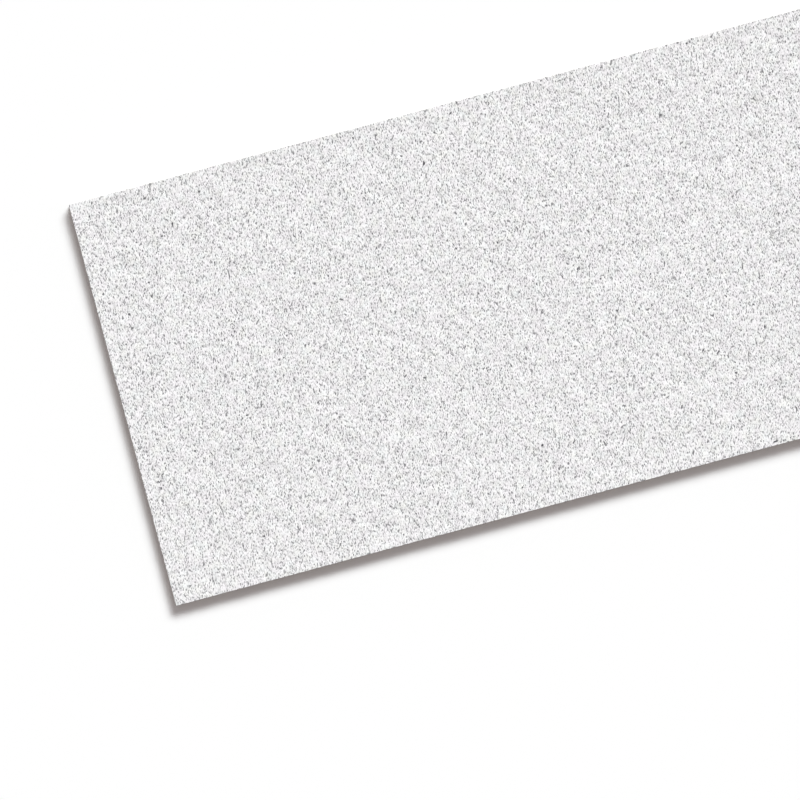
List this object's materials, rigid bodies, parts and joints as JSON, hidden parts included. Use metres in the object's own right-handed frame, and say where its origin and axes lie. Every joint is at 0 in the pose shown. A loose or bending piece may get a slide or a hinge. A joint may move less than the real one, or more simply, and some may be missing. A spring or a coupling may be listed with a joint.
{
  "type": "suspended ceiling tile",
  "caption": "Flat rectangular mineral-fibre ceiling board with a square lay-in edge and a granular white painted face, laid into a suspended grid.",
  "frame": {"origin": "middle of the flat back, so the tile lies on its back on the plane z = 0", "axes": "+X along the length, +Y across the width, +Z out of the painted face"},
  "size_m": [1.2128, 0.6032, 0.0159],
  "materials": {
    "painted_board": "flat white latex paint on a granular felted mineral-fibre board, with raw buff edges and back"
  },
  "bodies": {
    "root": {"ceiling_tile": "painted_board"}
  },
  "joints": []
}
